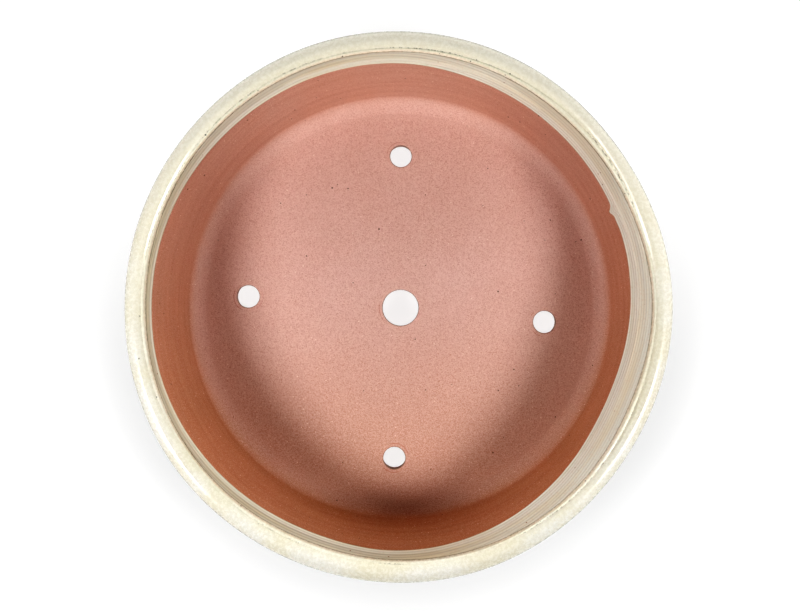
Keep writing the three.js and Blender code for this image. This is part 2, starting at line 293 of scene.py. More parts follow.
class Nodes:
    """Short calls for building one material's node tree. The textures' scales count per metre."""

    def __init__(self, name):
        self.material = bpy.data.materials.new(name)
        self.material.use_nodes = True
        self.tree = self.material.node_tree
        self.shader = self.tree.nodes["Principled BSDF"]

    def node(self, kind, **settings):
        made = self.tree.nodes.new(kind)
        for key, value in settings.items():
            setattr(made, key, value)
        return made

    def link(self, output, socket):
        self.tree.links.new(output, socket)

    def put(self, socket, value):
        if isinstance(value, bpy.types.NodeSocket):
            self.link(value, socket)
        else:
            socket.default_value = value

    def place(self, scale=(1, 1, 1)):
        """Object coordinates in metres, stretched by scale."""
        where = self.node("ShaderNodeTexCoord").outputs["Object"]
        mapping = self.node("ShaderNodeMapping")
        mapping.inputs["Scale"].default_value = scale
        self.link(where, mapping.inputs["Vector"])
        return mapping.outputs["Vector"]

    def axis(self, letter):
        """One object coordinate, in millimetres. Y runs from the front to the back, Z up from the shelf."""
        split = self.node("ShaderNodeSeparateXYZ")
        self.link(self.place(), split.inputs[0])
        return self.math("DIVIDE", split.outputs[letter], MM)

    def attribute(self, name):
        return self.node("ShaderNodeAttribute", attribute_name=name).outputs["Fac"]

    def math(self, operation, a, b=0.0):
        made = self.node("ShaderNodeMath", operation=operation)
        self.put(made.inputs[0], a)
        self.put(made.inputs[1], b)
        return made.outputs[0]

    def plus(self, a, b):
        return self.math("ADD", a, b)

    def minus(self, a, b):
        return self.math("SUBTRACT", a, b)

    def times(self, a, b):
        return self.math("MULTIPLY", a, b)

    def range(self, value, low, high, to_low=0.0, to_high=1.0):
        """value from low..high to to_low..to_high, eased at both ends and held beyond them."""
        made = self.node("ShaderNodeMapRange", interpolation_type="SMOOTHSTEP")
        self.put(made.inputs["Value"], value)
        for key, number in (("From Min", low), ("From Max", high), ("To Min", to_low), ("To Max", to_high)):
            made.inputs[key].default_value = number
        return made.outputs["Result"]

    def line(self, value, centre, half_width):
        """1 where value is at centre, falling to 0 half_width away."""
        off = self.math("ABSOLUTE", self.minus(value, centre))
        return self.range(off, 0.0, half_width, 1.0, 0.0)

    def noise(self, scale, detail=3.0, rough=0.5, vector=None, distortion=0.0):
        made = self.node("ShaderNodeTexNoise")
        self.link(vector or self.place(), made.inputs["Vector"])
        made.inputs["Scale"].default_value = scale
        made.inputs["Detail"].default_value = detail
        made.inputs["Roughness"].default_value = rough
        made.inputs["Distortion"].default_value = distortion
        return made.outputs["Fac"]

    def ragged(self, value, scale, reach):
        """value with its lines broken up by noise, to half of reach at most either way."""
        broken = self.noise(scale, 3, 0.7)
        return self.plus(value, self.times(self.minus(broken, 0.5), reach))

    def specks(self, scale, size, share):
        """Small round dots: one in each Voronoi cell that is among the given share of the cells. size is
        the largest dot's radius, in cells."""
        cells = self.node("ShaderNodeTexVoronoi")
        self.link(self.place(), cells.inputs["Vector"])
        cells.inputs["Scale"].default_value = scale
        chance = self.node("ShaderNodeSeparateColor")
        self.link(cells.outputs["Color"], chance.inputs[0])
        chosen = self.math("LESS_THAN", chance.outputs[0], share)
        radius = self.times(chance.outputs[1], size)
        inside = self.minus(radius, cells.outputs["Distance"])
        dot = self.range(inside, 0.0, size * 0.35)
        return self.times(dot, chosen)

    def mix(self, share, a, b, blend="MIX"):
        made = self.node("ShaderNodeMix", data_type="RGBA", blend_type=blend)
        self.put(made.inputs["Factor"], share)
        for socket, value in ((made.inputs[6], a), (made.inputs[7], b)):
            self.put(socket, value if isinstance(value, bpy.types.NodeSocket) else (*value, 1.0))
        return made.outputs[2]

    def stain(self, colour, where, strength, tint):
        """The colour with a tint over it, at the given strength, in the places that where picks out."""
        return self.mix(self.times(where, strength), colour, tint)

    def shade(self, colour, where, tint):
        """The colour multiplied by the tint in the places that where picks out."""
        return self.mix(where, colour, tint, "MULTIPLY")

    def bump(self, height, depth_mm):
        made = self.node("ShaderNodeBump")
        made.inputs["Distance"].default_value = depth_mm * MM
        self.link(height, made.inputs["Height"])
        return made.outputs["Normal"]

    def finish(self, colour, roughness, normal, **fixed):
        """Fills the shader's sockets and gives the material. fixed holds more of them, by their names."""
        self.put(self.shader.inputs["Base Color"], colour)
        self.put(self.shader.inputs["Roughness"], roughness)
        self.link(normal, self.shader.inputs["Normal"])
        for key, value in fixed.items():
            self.shader.inputs[key.replace("_", " ")].default_value = value
        return self.material


def srgb(*channels):
    """Linear colour from 8-bit display values."""
    return tuple(((c / 255 + 0.055) / 1.055) ** 2.4 if c > 10 else c / 255 / 12.92 for c in channels)


def clay_material():
    """Red clay: sandy and pale on the floor, smoother up the turned wall. Painted light: floor and wall are
    painted paler and pinker towards the back and more orange in front, which evens out how the lamps light
    them. by_hole is how near a hole is: HOLE_HALO at its edge."""
    n = Nodes("red_clay")
    back = n.axis("Y")
    wall = n.range(n.axis("Z"), FLOOR_TOP + 0.2, FLOOR_TOP + 9)  # 0 on the floor, 1 above the cove
    sandy = n.minus(1.0, n.times(wall, 0.3))
    grain = n.noise(1750, 2, 0.6)
    coarse = n.noise(620, 3, 0.6)
    patches = n.noise(15, 4, 0.55)
    turning = n.noise(1, 4, 0.65, n.place((8, 8, 260)), 0.5)

    # painted light: the floor is paler and pinker towards the back and more orange in front
    floor_colour = n.mix(n.range(back, -110, 30), srgb(205, 167, 150), srgb(228, 193, 184))
    floor_colour = n.stain(floor_colour, n.range(patches, 0.3, 0.7), 0.35, srgb(212, 172, 158))
    # painted light: the wall is paler and pinker towards the back and more orange in front
    wall_colour = n.mix(n.range(back, -100, 120), srgb(198, 153, 124), srgb(213, 176, 163))
    wall_colour = n.stain(wall_colour, n.range(patches, 0.3, 0.7), 0.3, srgb(214, 160, 138))
    wall_colour = n.shade(wall_colour, n.range(turning, 0.36, 0.68, 0.0, 0.6), (0.88, 0.8, 0.76))
    colour = n.mix(wall, floor_colour, wall_colour)
    colour = n.stain(colour, n.range(coarse, 0.42, 0.75, 0.0, 0.14), sandy, srgb(196, 146, 128))
    colour = n.stain(colour, n.range(grain, 0.5, 0.68, 0.0, 0.48), sandy, srgb(236, 208, 196))
    colour = n.stain(colour, n.range(grain, 0.5, 0.34, 0.0, 0.48), sandy, srgb(184, 128, 110))

    # pale flecks: partly real mica, partly painted glints, with the sparkle painted in as pale colour
    mica_and_glints = n.specks(760, 0.36, 0.08)
    grit = n.specks(300, 0.2, 0.07)
    colour = n.stain(colour, mica_and_glints, 0.75, srgb(246, 226, 214))
    colour = n.stain(colour, grit, 0.85, srgb(104, 72, 62))

    by_hole = n.attribute("by_hole")
    patchy = n.range(n.noise(70, 2, 0.5), 0.48, 0.6)
    # painted shade: a patchy, darker and redder ring a little outside each hole
    hole_ring_shade = n.times(n.line(by_hole, HOLE_HALO - HOLE_SHADE_RING, 0.5), patchy)
    hole_edge_shade = n.range(by_hole, HOLE_HALO - 0.55, HOLE_HALO - 0.1)  # painted shade: a dark line on the rounded edge
    colour = n.stain(colour, hole_ring_shade, 0.55, srgb(182, 108, 88))
    colour = n.stain(colour, hole_edge_shade, 0.75, srgb(134, 106, 94))

    height = n.times(n.plus(grain, n.times(coarse, 0.8)), sandy)
    height = n.minus(height, n.times(grit, 0.8))
    height = n.plus(height, n.times(n.times(turning, wall), 1.6))
    roughness = n.range(coarse, 0.3, 0.7, 0.5, 0.68)
    return n.finish(colour, roughness, n.bump(height, 0.13), Specular_IOR_Level=0.6)


def glaze_colour(n, mottling):
    """A milky cream glaze with iron specks: its colour, its height for the bump and its fine mottle."""
    clouds = n.noise(34, 5, 0.6)
    mottle = n.noise(560, 4, 0.7)
    fine = n.noise(1150, 2, 0.6)
    specks = n.specks(150, 0.09, 0.10)
    pinholes = n.specks(640, 0.26, 0.022)
    waves = n.noise(48, 3, 0.5)
    colour = n.mix(n.range(clouds, 0.36, 0.66), srgb(233, 227, 206), srgb(239, 236, 225))
    colour = n.stain(colour, n.range(mottle, 0.42, 0.66), mottling, srgb(247, 247, 242))
    colour = n.stain(colour, n.range(fine, 0.5, 0.7), 0.4, srgb(226, 218, 192))
    colour = n.stain(colour, specks, 0.85, srgb(88, 74, 60))
    colour = n.stain(colour, pinholes, 0.6, srgb(120, 104, 84))
    height = n.plus(n.times(waves, 2.4), n.times(mottle, 0.35))
    height = n.minus(height, n.times(specks, 0.6))
    return colour, height, mottle


def wall_glaze_material():
    """The glaze on the outside and on the feet. thinness is 1 where the clay shows through its edge."""
    n = Nodes("cream_glaze")
    colour, height, mottle = glaze_colour(n, 0.45)
    colour = n.shade(colour, 1.0, (0.87, 0.87, 0.87))
    rings = n.noise(1, 3, 0.55, n.place((7, 7, 260)))
    colour = n.stain(colour, n.range(rings, 0.45, 0.7), 0.3, srgb(228, 217, 186))
    thinness = n.times(n.attribute("thinness"), n.range(n.noise(190, 3, 0.6), 0.3, 0.6, 0.5, 1.0))
    colour = n.stain(colour, thinness, 0.8, srgb(198, 150, 112))
    height = n.plus(height, n.times(rings, 1.2))
    roughness = n.range(mottle, 0.3, 0.7, 0.14, 0.26)
    return n.finish(colour, roughness, n.bump(height, 0.12), Coat_Weight=0.25, Coat_Roughness=0.07)


def rim_glaze_material():
    """The glaze over the rim. across runs from the crease over the ridge and the bead to the neck. The other
    two attributes say how much painted shade the bead's outer side has, and how open the dip's line is,
    which also sets how dark that line is painted, partly as painted shade."""
    n = Nodes("rim_glaze")
    colour, height, mottle = glaze_colour(n, 0.25)
    back = n.axis("Y")
    thick = n.range(back, -50, 120, 0.0, 0.9)  # painted light: the glaze is painted whiter towards the back, where the lamps light it less
    colour = n.mix(thick, colour, n.mix(n.range(mottle, 0.3, 0.7), srgb(251, 246, 229), srgb(253, 249, 235)))
    # painted shade: the front is darkened and cooled, where the lamps light it most
    colour = n.shade(colour, n.range(back, 40, -70), (0.9, 0.905, 0.93))

    across = n.attribute("across")
    ragged = n.ragged(across, 230, 1.1)
    slope = n.range(ragged, DIP_ACROSS, DIP_ACROSS + 5.5, 1.0, 0.0)
    colour = n.stain(colour, slope, 0.5, srgb(238, 234, 212))

    short_gaps = n.range(n.noise(420, 3, 0.75), 0.44, 0.62)
    long_gaps = n.range(n.noise(28, 2, 0.5), 0.4, 0.56)
    # the dip's broken dark line: iron specks where the glaze breaks, partly painted shade, darkest where the
    # dip is most open
    dip = n.times(n.line(ragged, DIP_ACROSS, 0.55), n.times(short_gaps, long_gaps))
    dip = n.times(dip, n.attribute("crack"))
    # painted shade: the bottom of the crease is darkened, where shade falls in it
    crease = n.range(ragged, 0.4, 1.3, 1.0, 0.0)
    pits = n.times(n.specks(420, 0.3, 0.14), n.range(across, DIP_ACROSS, DIP_ACROSS + 1.2, 1.0, 0.0))
    colour = n.stain(colour, dip, 0.8, srgb(92, 80, 60))
    colour = n.stain(colour, crease, 0.22, srgb(142, 130, 106))
    colour = n.stain(colour, pits, 0.8, srgb(52, 44, 36))
    # painted shade: a grey band on the bead's outer side
    colour = n.mix(n.attribute("worn"), colour, srgb(166, 161, 146))

    height = n.minus(height, n.times(dip, 0.8))
    roughness = n.range(mottle, 0.3, 0.7, 0.2, 0.34)
    return n.finish(colour, roughness, n.bump(height, 0.07), Coat_Weight=0.3, Coat_Roughness=0.08)


def band_glaze_material():
    """The thin inner glaze, drawn into streaks. edge is the height over its lower edge, below is the
    depth under the crease."""
    n = Nodes("thin_glaze")
    edge = n.attribute("edge")
    below = n.attribute("below")
    wide = n.plus(edge, below)
    streaks = n.noise(1, 2, 0.5, n.place((7, 7, 125)), 0.3)
    slow = n.noise(1, 3, 0.5, n.place((14, 14, 90)))
    fine = n.noise(900, 3, 0.65)
    pits = n.specks(330, 0.22, 0.10)

    streaky = n.range(streaks, 0.4, 0.6)
    thin = n.mix(streaky, srgb(203, 202, 184), srgb(213, 213, 190))
    thick = n.mix(streaky, srgb(238, 245, 236), srgb(246, 252, 240))
    colour = n.mix(n.range(wide, 5.0, 22.0), thin, thick)
    colour = n.shade(colour, n.range(slow, 0.46, 0.66, 0.0, 0.6), (0.96, 0.9, 0.8))
    share = n.math("DIVIDE", edge, n.plus(wide, 0.01))  # 0 at the lower edge, 1 at the crease
    # painted highlight: a pale streak about a third of the way up the band
    colour = n.stain(colour, n.line(share, 0.3, 0.28), 0.5, srgb(248, 252, 244))
    colour = n.stain(colour, n.range(edge, 0.4, 1.2, 1.0, 0.0), 0.7, srgb(236, 218, 194))
    colour = n.stain(colour, n.range(fine, 0.5, 0.7), 0.3, srgb(222, 206, 184))
    colour = n.stain(colour, pits, 0.7, srgb(150, 126, 98))
    # painted shade: a dark line along the top of the band, just under the crease
    crease = n.range(n.ragged(below, 260, 0.8), 0.0, 0.5, 1.0, 0.0)
    colour = n.stain(colour, crease, 0.45, srgb(138, 122, 98))

    height = n.plus(n.times(streaks, 0.7), n.times(fine, 0.25))
    height = n.minus(height, n.times(pits, 0.5))
    roughness = n.range(streaks, 0.3, 0.7, 0.16, 0.3)
    return n.finish(colour, roughness, n.bump(height, 0.12), Coat_Weight=0.4, Coat_Roughness=0.12)


clay = clay_material()
outer_glaze = wall_glaze_material()
rim_glaze = rim_glaze_material()
inner_glaze = band_glaze_material()


def dress(piece, material, slot, *nodes):
    """Gives a piece its material, hangs it on the root body and hides the CAD nodes it stands for."""
    piece.data.materials.clear()
    piece.data.materials.append(material)
    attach(piece, "root")
    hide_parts(*nodes)


# ---- Floor ----

HOLE_SIDES = 72
FILLET_STEPS = 5
FLOOR_SPACING = 2.0  # between the points of the floor's sheet
FLOOR_WAVES = 0.12  # height of the floor's slow unevenness
FLOOR_RINGS = 0.03  # height of the rings that the turning left on it
FLOOR_EDGE = 10.0  # how far in from the slab's edge both are fully there


def holes():
    """Each hole's centre, and its radius at the floor's top and at the underside."""
    for radius, angle, top, bottom in HOLES:
        turn = math.radians(angle)
        yield Vector((radius * math.cos(turn), radius * math.sin(turn))), top / 2, bottom / 2


def past_holes(point):
    """How far a point of the floor is from the nearest hole's edge."""
    return min((point - centre).length - top for centre, top, _ in holes())


def circle(centre, radius, sides, shift=0.0):
    """Points on a circle, turned by shift of a side."""
    for k in range(sides):
        turn = 2 * math.pi * (k + shift) / sides
        yield centre + radius * Vector((math.cos(turn), math.sin(turn)))


def sheet_points():
    """The points of the floor's sheet, each with its depth below the floor."""
    for centre, top, _ in holes():
        for step in range(FILLET_STEPS + 1):
            turn = step / FILLET_STEPS * math.pi / 2
            radius = top + HOLE_FILLET * (1 - math.cos(turn))
            drop = HOLE_FILLET * (1 - math.sin(turn))
            yield from ((point, drop) for point in circle(centre, radius, HOLE_SIDES, 0.5 * (step % 2)))
        for past in HOLE_RINGS:
            yield from ((point, 0.0) for point in circle(centre, top + past, HOLE_SIDES, 0.5))
    axis = Vector((0, 0))
    yield from ((point, 0.0) for point in circle(axis, SLAB_RADIUS, SEGMENTS))
    for row in range(1, int(SLAB_RADIUS / FLOOR_SPACING)):
        radius = row * FLOOR_SPACING
        sides = round(2 * math.pi * radius / FLOOR_SPACING)
        for point in circle(axis, radius, sides, 0.5 * (row % 2)):
            if past_holes(point) > HOLE_RINGS[-1] + 0.6 * FLOOR_SPACING:
                yield point, 0.0


def on_top(point, drop):
    """A point of the floor's top, which is a little uneven, with faint rings."""
    waves = FLOOR_WAVES * noise.noise(Vector((point.x * 0.03, point.y * 0.03, 1.3)))
    stray = 0.6 * noise.noise(Vector((point.x * 0.05, point.y * 0.05, 7.1)))
    rings = FLOOR_RINGS * math.sin(point.length * 1.1 + stray)
    share = min(1.0, (SLAB_RADIUS - point.length) / FLOOR_EDGE)
    return point.x, point.y, floor_height(point.length) - drop + (waves + rings) * share


def on_underside(point):
    """A point of the underside. The holes widen downwards, so it is pushed out round them."""
    reach = HOLE_RINGS[-1]
    for centre, top, low in holes():
        away = point - centre
        gap = away.length - top
        if gap < reach:
            point = centre + away.normalized() * (low + gap * (1 - (low - top) / reach))
    return point.x, point.y, UNDERSIDE


def open_edges(faces):
    """The edges that only one of the triangles has."""
    edges = {}
    for face in faces:
        for start, end in zip(face, face[1:] + face[:1]):
            if (end, start) in edges:
                del edges[(end, start)]
            else:
                edges[(start, end)] = True
    return edges


def floor_mesh():
    """The slab: a sheet of triangles for its top, the same sheet for its underside, the walls between.
    The third list is how near each point is to a hole, HOLE_HALO at the hole's edge."""
    points, drops = zip(*sheet_points())
    found, _, triangles, _, _, _ = geometry.delaunay_2d_cdt(points, [], [], 0, 1e-5)
    top_faces = []
    for face in triangles:
        middle = sum((found[i] for i in face), Vector((0, 0))) / 3
        if all((middle - centre).length > top * 0.99 for centre, top, _ in holes()):
            top_faces.append(tuple(face))
    vertices = [on_top(point, drop) for point, drop in zip(found, drops)]
    vertices += [on_underside(point) for point in found]
    count = len(found)
    bottom_faces = [tuple(i + count for i in reversed(face)) for face in top_faces]
    walls = [(b, a, a + count, b + count) for a, b in open_edges(top_faces)]
    near = [max(0.0, HOLE_HALO - past_holes(point)) for point in found]
    return vertices, top_faces + bottom_faces + walls, near + near


floor_vertices, floor_faces, floor_by_hole = floor_mesh()
floor_piece = make_object("clay_floor", floor_vertices, floor_faces)
store(floor_piece, "by_hole", floor_by_hole)
dress(floor_piece, clay, "bare_clay", "floor_slab")

# ---- Wall ----


def wall_sections():
    """The wall ring's sections: underside, corner, hidden back, hidden top, inner face, cove."""
    corner_height = UNDERSIDE + CORNER_RADIUS
    underside = arc(CORNER_CENTRE_RADIUS, corner_height, CORNER_RADIUS, -math.pi / 2, GLAZE_FOOT_LINE, 10)
    outside = outer_outline(0.0)[1::3]  # a coat hides it, so every third point will do
    foot = np.vstack([[SLAB_RADIUS, UNDERSIDE], underside, outside])
    radii, heights = spread(foot)
    inner_heights = np.linspace(joint_height, cove_top_height, 70)
    inner = inner_radius(pot_angles[:, None], inner_heights[None, :])
    slab_turn = math.acos((SLAB_RADIUS - COVE_FOOT_RADIUS) / COVE_WIDTH)
    cove_radii = COVE_FOOT_RADIUS + COVE_WIDTH * np.cos(np.linspace(cove_top_turn, slab_turn, 24)[1:])
    cove_r, cove_h = spread(np.stack([cove_radii, floor_height(cove_radii)], 1))
    radii = np.hstack([radii, inner, cove_r])
    heights = np.hstack([heights, np.repeat(inner_heights[None, :], SEGMENTS, 0), cove_h])
    return radii, heights


wall_piece = ring_object("clay_wall", *wall_sections())
dress(wall_piece, clay, "bare_clay", "side_wall")

# ---- Rim ----


def rim_face(angle, coat):
    """The rim's section over its glaze, from the neck round the bead to the crease, as two arrays.
    coat moves it in from the glazed face."""
    outer = rim_radius(angle) - coat
    inner = crease_radius(angle) + coat
    top = RIM_TOP - coat
    ridge = ridge_width(angle)
    slope = outer - BEAD_DROP - inner - ridge
    filled = 1 - dip_crack(angle)  # where the dip behind the ridge is full of glaze
    neck = NECK_RADIUS + COAT
    control = (
        (neck, NECK_HEIGHT - 0.9 + coat),
        (outer - BEAD_DROP * 0.72, NECK_HEIGHT - 0.6 + coat),
        (outer - BEAD_DROP * 0.25, RIM_TOP + 0.7 * coat - BEAD_DROP * 1.72),
        (outer, top - BEAD_DROP),  # the widest point
        (outer - BEAD_DROP * 0.28, top - BEAD_DROP * 0.3),
        (outer - BEAD_DROP * 0.95, top),  # the brow
        (inner + ridge + slope * 0.42, top - 0.6),
        (inner + ridge + slope * 0.12, top - 1.6 + 0.3 * filled),
        (inner + ridge, top - 2.0 + 0.25 * filled),  # the dip
        (inner + ridge * 0.62, top - 1.85 - 0.1 * filled),  # the ridge
        (inner + ridge * 0.22, top - 2.2),
        (inner - 0.1, top - 3.2),
        (inner - 0.05, top - 4.2),
        (inner + 0.15, top - CREASE_BELOW_TOP - 0.15),  # the crease
    )
    radii = np.stack([c[0] + 0 * outer for c in control], 1)
    heights = np.stack([c[1] + 0 * outer for c in control], 1)
    return radii, heights


def smooth_section(radii, heights, steps):
    """Catmull-Rom curves through every facet's section points, with steps points for each of them."""
    out_r, out_h = [], []
    count = radii.shape[1]
    for i in range(count - 1):
        a, b, c, d = max(i - 1, 0), i, i + 1, min(i + 2, count - 1)
        for step in range(steps):
            t = step / steps
            weights = (
                (-t + 2 * t * t - t**3) / 2,
                (2 - 5 * t * t + 3 * t**3) / 2,
                (t + 4 * t * t - 3 * t**3) / 2,
                (t**3 - t * t) / 2,
            )
            out_r.append(sum(w * radii[:, k] for w, k in zip(weights, (a, b, c, d))))
            out_h.append(sum(w * heights[:, k] for w, k in zip(weights, (a, b, c, d))))
    out_r.append(radii[:, -1])
    out_h.append(heights[:, -1])
    return np.stack(out_r, 1), np.stack(out_h, 1)


FACE_STEPS = 7  # between two of rim_face's points
BROW_POINT = 5 * FACE_STEPS  # the brow is point 5
DIP_POINT = 8 * FACE_STEPS  # the dip is point 8
BEAD_SHADE_DROPS = (0.8, 3.4, 4.4, 7.6)  # the drops from the brow between which the painted shade on the bead's outer side rises and fades


def rim_glaze_sections():
    """The rim coat's sections, and for its material how far each point is across and how much painted shade
    it has on the bead's outer side.
    """
    face_r, face_h = smooth_section(*rim_face(pot_angles, 0.0), FACE_STEPS)
    uneven = wobble(pot_angles, 3, 0.06, 5)[:, None]
    face_h = face_h + uneven * smoothstep(NECK_HEIGHT, RIM_TOP, face_h)
    back_r, back_h = smooth_section(*rim_face(pot_angles, COAT), 2)
    across = np.hypot(np.diff(face_r, axis=1), np.diff(face_h, axis=1)).cumsum(1)
    across = np.hstack([across[:, -1:], across[:, -1:] - across])
    # the dip is at the same distance all round, however wide the ridge is there
    dip = across[:, DIP_POINT:DIP_POINT + 1]
    across = np.where(across < dip, across * DIP_ACROSS / dip, across - dip + DIP_ACROSS)
    drop = np.where(np.arange(face_r.shape[1]) < BROW_POINT, RIM_TOP - face_h, 0)
    # painted shade: grey on the bead's outer side, rising below the brow and fading again further down
    shade_rise = smoothstep(BEAD_SHADE_DROPS[0], BEAD_SHADE_DROPS[1], drop)
    shade_fade = smoothstep(BEAD_SHADE_DROPS[2], BEAD_SHADE_DROPS[3], drop)
    worn = bead_shade_strength(pot_angles)[:, None] * shade_rise * (1 - shade_fade)
    radii = np.hstack([face_r, back_r[:, ::-1]])
    heights = np.hstack([face_h, back_h[:, ::-1]])
    back = np.zeros_like(back_r)
    return radii, heights, np.hstack([across, back]), np.hstack([worn, back])


rim_radii, rim_heights, rim_across, rim_worn = rim_glaze_sections()
rim_crack = np.repeat(dip_crack(pot_angles)[:, None], rim_radii.shape[1], 1)
rim_coat = ring_object(
    "rim_coat", rim_radii, rim_heights, across=rim_across, worn=rim_worn, crack=rim_crack,
)
dress(rim_coat, rim_glaze, "cream_glaze", "rim_glaze")


def rim_clay_sections():
    """The clay under the rim coat, down to its joint with the wall."""
    face_r, face_h = smooth_section(*rim_face(pot_angles, COAT + BEHIND_COAT), 2)
    joint_r = inner_radius(pot_angles[:, None], np.array([[joint_height]]))
    return np.hstack([face_r, joint_r]), np.hstack([face_h, np.full_like(joint_r, joint_height)])


rim_clay = ring_object("rim_clay", *rim_clay_sections())
dress(rim_clay, clay, "bare_clay", "rim_lip")

# ---- Coats on the wall ----


def corner_sections(coat, line, points):
    """The outer corner round the pot, from the glaze's wavy foot line up to the belly."""
    share = np.linspace(0, 1, points)[None, :]
    angles = line[:, None] + (CORNER_END - line[:, None]) * share
    radii = CORNER_CENTRE_RADIUS + (CORNER_RADIUS + coat) * np.cos(angles)
    return radii, UNDERSIDE + CORNER_RADIUS + (CORNER_RADIUS + coat) * np.sin(angles)


def wall_glaze_sections():
    """The outer coat's sections, and how thin the glaze is at each point."""
    line = GLAZE_FOOT_LINE + wobble(pot_angles, 9, 0.03, 5)
    corner_r, corner_h = corner_sections(COAT, line, 40)
    belly_r, belly_h = spread(belly_outline(COAT))
    face_r = np.hstack([corner_r, belly_r])
    face_h = np.hstack([corner_h, belly_h])
    run = np.hypot(np.diff(face_r, axis=1), np.diff(face_h, axis=1)).cumsum(1)
    run = np.hstack([np.zeros((SEGMENTS, 1)), run])
    # the edge starts at the clay and swells to a roll
    swell = COAT * (np.sqrt(np.clip(run / 1.2, 0, 1)) - 1) + 0.3 * bell(run, 2.0, 1.3)
    rings = 0.09 * np.sin(face_h * 0.9 + wobble(pot_angles, 4, 0.4, 3)[:, None])
    rings = rings + 0.05 * np.sin(face_h * 2.3 + wobble(pot_angles, 5, 0.9, 3)[:, None])
    above_line = smoothstep(face_h[:, :1], face_h[:, :1] + 8, face_h)
    face_r = face_r + swell + (rings + wobble(pot_angles, 6, 0.06, 5)[:, None]) * above_line
    hidden_r, hidden_h = corner_sections(-SUNK, line, 14)
    back_r, back_h = spread(belly_outline(-SUNK)[::3])
    back_r = np.hstack([hidden_r, back_r])[:, ::-1]
    back_h = np.hstack([hidden_h, back_h])[:, ::-1]
    thinness = np.hstack([1 - smoothstep(0.3, 2.2, run), np.ones_like(back_r)])
    return np.hstack([face_r, back_r]), np.hstack([face_h, back_h]), thinness


wall_glaze_radii, wall_glaze_heights, wall_glaze_thinness = wall_glaze_sections()
wall_coat = ring_object("wall_coat", wall_glaze_radii, wall_glaze_heights, thinness=wall_glaze_thinness)
dress(wall_coat, outer_glaze, "cream_glaze", "wall_glaze")


def band_sections():
    """The thin inner coat's sections, with a soft roll at the lower edge, and the height over that edge."""
    depth = glaze_line_depth(pot_angles)[:, None]
    low = RIM_TOP - depth
    share = np.linspace(0, 1, 60)[None, :]
    heights = crease_height + (low - crease_height) * share
    left = heights - low
    thickness = BAND_COAT * np.sqrt(np.clip(left / 0.7, 0, 1)) + 0.25 * bell(left, 1.2, 0.8)
    streak = 0.05 * np.sin(left * 2.2 + wobble(pot_angles, 8, 0.6, 4)[:, None])
    face_r = inner_radius(pot_angles[:, None], heights) - thickness - streak * smoothstep(0.5, 3, left)
    back_heights = heights[:, ::6]
    back_r = inner_radius(pot_angles[:, None], back_heights) + SUNK
    radii = np.hstack([face_r, back_r[:, ::-1]])
    section_heights = np.hstack([heights, back_heights[:, ::-1]])
    edge = np.hstack([left, np.zeros_like(back_r)])
    return radii, section_heights, edge


band_radii, band_heights, band_edge = band_sections()
band_coat = ring_object(
    "inner_band_coat", band_radii, band_heights, edge=band_edge, below=crease_height - band_heights,
)
dress(band_coat, inner_glaze, "thin_glaze", "inner_band_glaze")

# ---- Feet ----

FOOT_ANGLES = (90, 210, 330)
FOOT_INNER_RADIUS = 113.0
FOOT_OUTER_RADIUS = 134.0
SOLE_HALF_LENGTH = 17.0
SCALLOPS = (2.5, 4.5, 5.0, 5.5)  # radii of the lobes at each end of a foot, from the sole up
TOE_RADIUS = 131.2  # the foot's front at the sole
FOOT_BULGE = 5.0  # how far the front swells out above it
FOOT_BULGE_RISE = 3.2  # how high above the sole most of that is reached
FOOT_GLAZED_FROM = 12.0  # how far out from the foot's back its glaze begins
GLAZE_ABOVE_SOLE = 1.8
FOOT_SUNK = 0.25  # how far the coat lies inside the clay where the foot is bare
FOOT_UNEVEN = 0.35  # how far the front strays from its true shape
FOOT_GRAIN = 0.6  # size of a foot's facets


def foot_outline():
    """The foot seen from outside: a sole, with scallops that step out and up at each end."""
    steps = 8
    right = [(SOLE_HALF_LENGTH, 0.0)]
    x, y = right[0]
    for radius in SCALLOPS:
        for step in range(1, steps + 1):
            turn = math.pi / 2 * (step / steps - 1)
            right.append((x + radius * math.cos(turn), y + radius * (1 + math.sin(turn))))
        x += radius
        y += radius
    return right + [(-px, py) for px, py in reversed(right)]


def flat_foot():
    """A straight foot with soft edges: points (along, depth, height) and faces."""
    outline = foot_outline()
    depth = FOOT_OUTER_RADIUS - FOOT_INNER_RADIUS
    count = len(outline)
    front = [(x, depth, y) for x, y in outline]
    back = [(x, 0.0, y) for x, y in outline]
    sides = [(i, (i + 1) % count, (i + 1) % count + count, i + count) for i in range(count)]
    faces = [tuple(reversed(range(count))), tuple(range(count, 2 * count)), *sides]
    block = make_object("foot_block", front + back, faces)
    remesh = block.modifiers.new("even_facets", "REMESH")
    remesh.mode = "VOXEL"
    remesh.voxel_size = FOOT_GRAIN * MM
    soften = block.modifiers.new("soft_edges", "SMOOTH")
    soften.factor = 0.5
    soften.iterations = 4
    made = bpy.data.meshes.new_from_object(block.evaluated_get(bpy.context.evaluated_depsgraph_get()))
    points = np.empty(len(made.vertices) * 3, dtype=np.float32)
    made.vertices.foreach_get("co", points)
    faces = [tuple(reversed(polygon.vertices)) for polygon in made.polygons]  # bending mirrors them
    bpy.data.objects.remove(block)
    return points.reshape(-1, 3).astype(float) / MM, faces


def bent(points, middle):
    """The straight foot bent round the pot, its front swelling above the toe."""
    along, depth, height = points.T
    height = np.clip(height, 0, None)
    front = TOE_RADIUS + FOOT_BULGE * (1 - np.exp(-height / FOOT_BULGE_RISE))
    share = depth / (FOOT_OUTER_RADIUS - FOOT_INNER_RADIUS)
    radius = FOOT_INNER_RADIUS + share * (front - FOOT_INNER_RADIUS)
    turn = middle + along / FOOT_OUTER_RADIUS
    placed = np.stack([radius * np.cos(turn), radius * np.sin(turn), points[:, 2]], 1)
    uneven = np.array([noise.noise(Vector(p) * 0.09) for p in placed])
    radius = radius + FOOT_UNEVEN * uneven * share
    return np.stack([radius * np.cos(turn), radius * np.sin(turn), height], 1)


